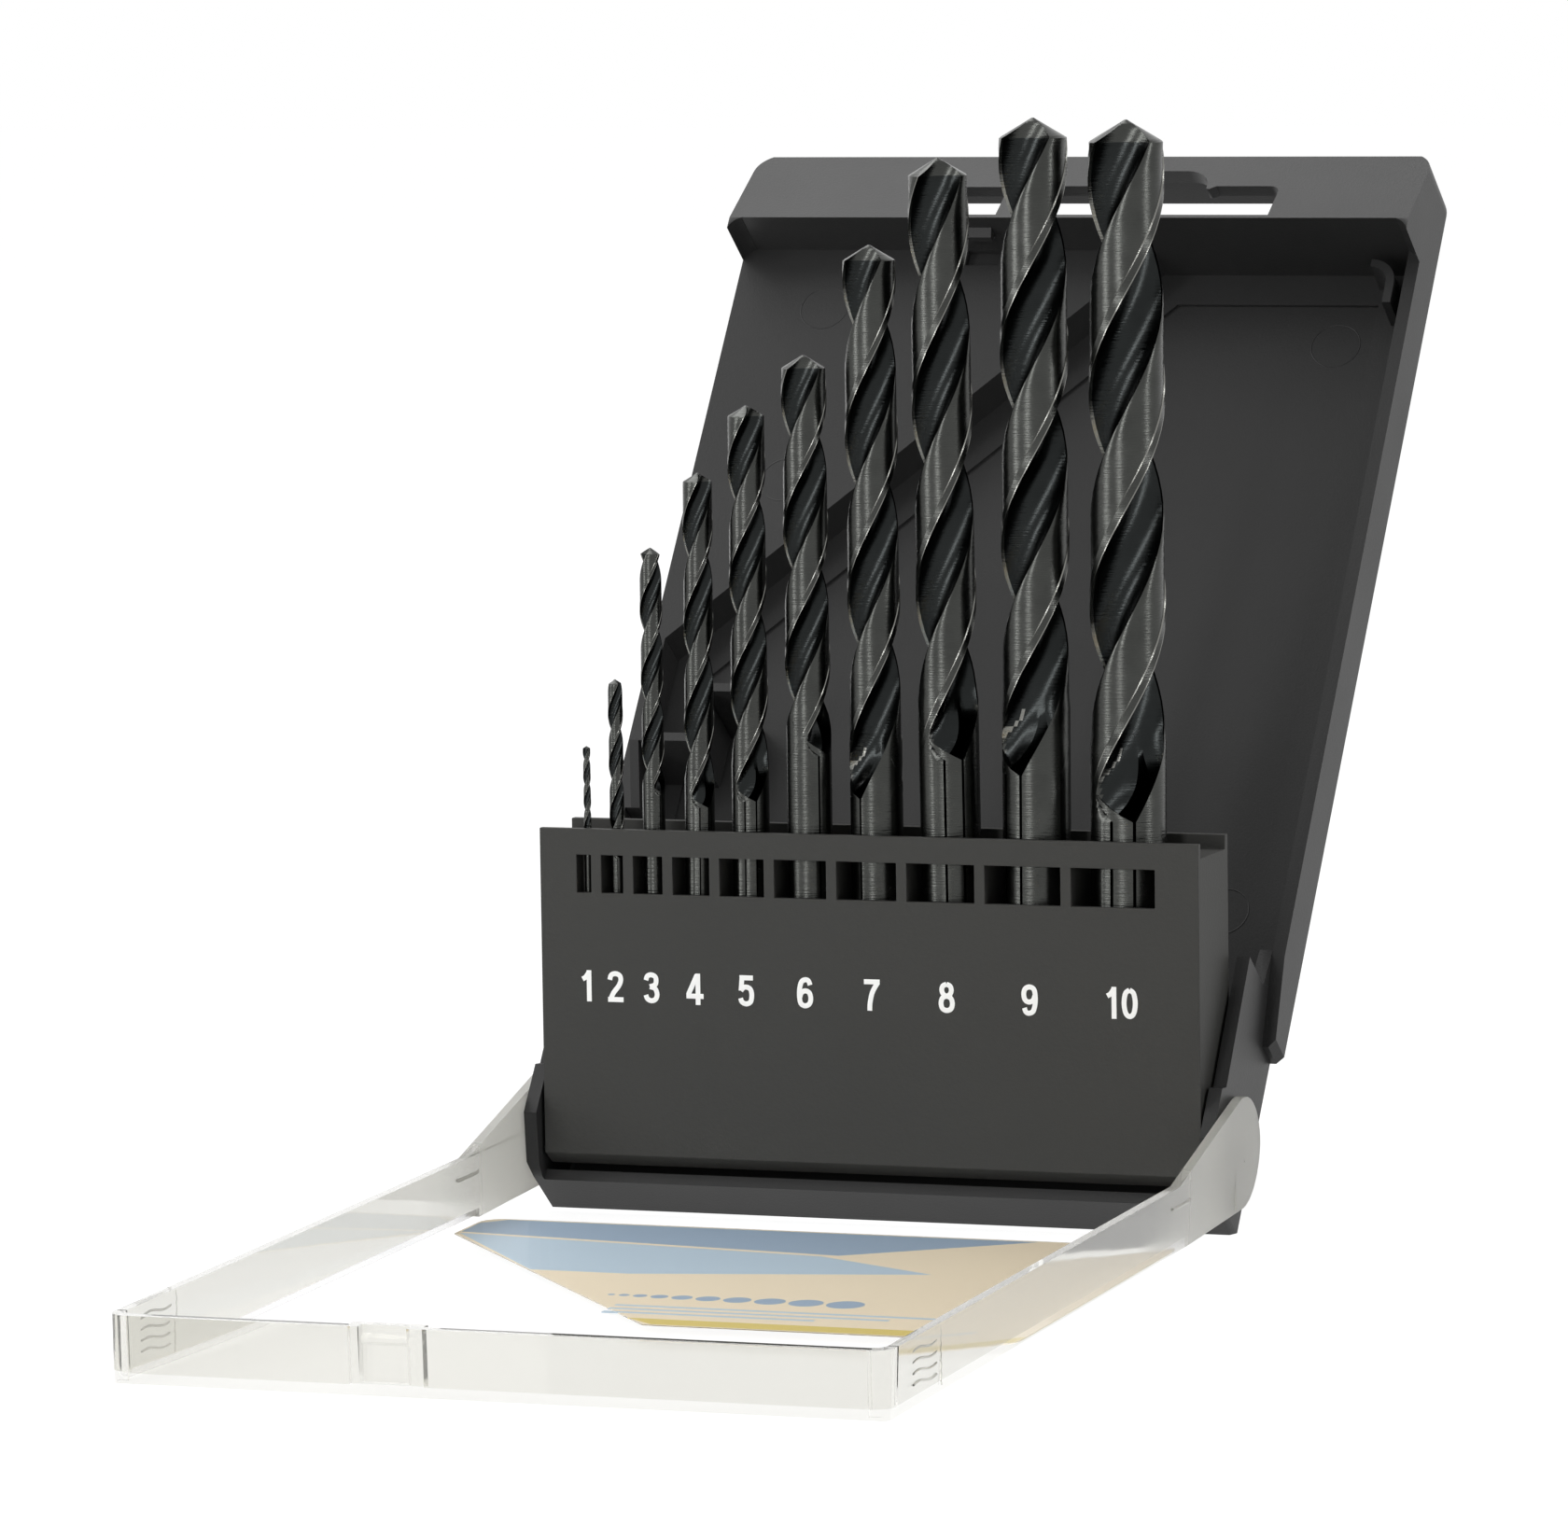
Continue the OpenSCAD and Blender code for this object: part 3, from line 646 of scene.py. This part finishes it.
# Soft lamps: name, place and aim in metres, size in metres, power in watts
LAMPS = [
    ("left_strip", (-0.54, -0.45, 0.35), (0, 0, 0.35), (0.13, 0.7), 2.4),
    ("front_strip", (-0.06, -0.7, 0.35), (0, 0, 0.35), (0.11, 0.7), 2.2),
    ("right_strip", (1.0, -0.1, 0.5), (0, 0, 0.5), (0.1, 1.0), 3.4),
    ("overhead", (-0.45, 0.45, 1.1), (0, 0.04, 0.06), (0.7, 0.7), 5.0),
    ("top_left", (-0.95, -0.15, 0.95), (0, -0.03, 0.05), (0.6, 0.6), 6.4),
]
SURROUND_LIGHT = 0.12                    # the world's strength for all but the rays that show it
FLOOR_GLOW, FLOOR_GLOW_SHARE = 1.16, 0.85
CAMERA_PLACE, CAMERA_LENS = (0.387897, -1.104282, 0.185339), 204.092
CAMERA_TURN, CAMERA_RISE, CAMERA_ROLL = radians(19.984), radians(6.085), radians(-0.86)


class CASE_OT_stage(bpy.types.Operator):
    """Stage: pale floor, white surround, soft lamps, and the camera at the photograph's view"""
    bl_idname = "case.stage"
    bl_label = "Stage"

    def execute(self, context):
        scene = context.scene
        bm = bmesh.new()
        bmesh.ops.create_grid(bm, x_segments=1, y_segments=1, size=4.0)
        mesh = bpy.data.meshes.new("floor")
        bm.to_mesh(mesh)
        bm.free()
        floor = bpy.data.objects.new("floor", mesh)
        scene.collection.objects.link(floor)
        floor.data.materials.append(self.floor_paint(scene.case_colours.floor))
        self.surround(scene)
        for name, place, aim, size, power in LAMPS:
            lamp = bpy.data.lights.new(name, "AREA")
            lamp.shape = "RECTANGLE"
            lamp.size, lamp.size_y = size
            lamp.energy = power
            holder = bpy.data.objects.new(name, lamp)
            holder.location = place
            holder.rotation_euler = (Vector(aim) - Vector(place)).to_track_quat("-Z", "Y").to_euler()
            scene.collection.objects.link(holder)
        self.camera(scene)
        scene.view_settings.view_transform = "Standard"
        return {"FINISHED"}

    def seen_rays(self, tree):
        """1 for the rays that show the surround: camera, mirrored and passed through."""
        path = add_node(tree, "ShaderNodeLightPath").outputs
        first = add_node(tree, "ShaderNodeMath", {"operation": "MAXIMUM"}, i0=path["Is Camera Ray"],
                         i1=path["Is Glossy Ray"])
        return add_node(tree, "ShaderNodeMath", {"operation": "MAXIMUM"}, i0=first.outputs[0],
                        i1=path["Is Transmission Ray"]).outputs[0]

    def floor_paint(self, base):
        """White backdrop paper that keeps a faint shadow."""
        material, tree, surface, place = new_material("white backdrop paper")
        surface.inputs["Base Color"].default_value = (*base, 1)
        surface.inputs["Roughness"].default_value = 0.9
        surface.inputs["Specular IOR Level"].default_value = 0.0
        glow = add_node(tree, "ShaderNodeEmission", {"Color": (1, 1, 1, 1), "Strength": FLOOR_GLOW})
        share = add_node(tree, "ShaderNodeMath", {"operation": "MULTIPLY", 1: FLOOR_GLOW_SHARE},
                         i0=self.seen_rays(tree))
        mixed = add_node(tree, "ShaderNodeMixShader", None, i0=share.outputs[0], i1=surface.outputs[0],
                         i2=glow.outputs[0])
        tree.links.new(mixed.outputs[0], tree.nodes["Material Output"].inputs["Surface"])
        return material

    def surround(self, scene):
        world = bpy.data.worlds.new("white surround")
        scene.world = world
        world.use_nodes = True
        tree = world.node_tree
        back = tree.nodes["Background"]
        back.inputs["Color"].default_value = (1, 1, 1, 1)
        tree.links.new(spread(tree, self.seen_rays(tree), SURROUND_LIGHT, 1.0), back.inputs["Strength"])

    def camera(self, scene):
        lens = bpy.data.cameras.new("photograph")
        lens.sensor_width = 36
        lens.lens = CAMERA_LENS
        lens.clip_start = 0.01
        lens.clip_end = 20
        camera = bpy.data.objects.new("photograph", lens)
        scene.collection.objects.link(camera)
        turn, rise, roll = CAMERA_TURN, CAMERA_RISE, CAMERA_ROLL
        back = Vector((sin(turn) * cos(rise), -cos(turn) * cos(rise), sin(rise)))
        right = Vector((cos(turn), sin(turn), 0))
        up = back.cross(right)
        across = right * cos(roll) + up * sin(roll)
        above = up * cos(roll) - right * sin(roll)
        facing = Matrix((across, above, back)).transposed().to_4x4()
        camera.matrix_world = Matrix.Translation(CAMERA_PLACE) @ facing
        scene.camera = camera


class CASE_PT_panel(bpy.types.Panel):
    """Lists the case's pieces and settings"""
    bl_idname = "CASE_PT_panel"
    bl_label = "Drill bit case"
    bl_space_type = "VIEW_3D"
    bl_region_type = "UI"
    bl_category = "Drill case"

    def draw(self, context):
        for operator in OPERATORS:
            self.layout.operator(operator.bl_idname)
        for group in (context.scene.case_sizes, context.scene.case_colours):
            for name in group.bl_rna.properties.keys():
                if name not in ("rna_type", "name"):
                    self.layout.prop(group, name)


OPERATORS = (CASE_OT_stage, CASE_OT_shell, CASE_OT_holder, CASE_OT_numerals, CASE_OT_lid, CASE_OT_label,
             CASE_OT_drills)
CLASSES = (CaseColours, CaseSizes) + OPERATORS + (CASE_PT_panel,)


def register():
    for cls in CLASSES:
        bpy.utils.register_class(cls)
    bpy.types.Scene.case_colours = bpy.props.PointerProperty(type=CaseColours)
    bpy.types.Scene.case_sizes = bpy.props.PointerProperty(type=CaseSizes)


def unregister():
    del bpy.types.Scene.case_sizes
    del bpy.types.Scene.case_colours
    for cls in reversed(CLASSES):
        bpy.utils.unregister_class(cls)


def main():
    register()
    bpy.ops.case.stage()
    bpy.ops.case.shell()
    bpy.ops.case.holder()
    bpy.ops.case.numerals()
    bpy.ops.case.lid()
    bpy.ops.case.label()
    bpy.ops.case.drills()


if __name__ == "__main__":
    main()
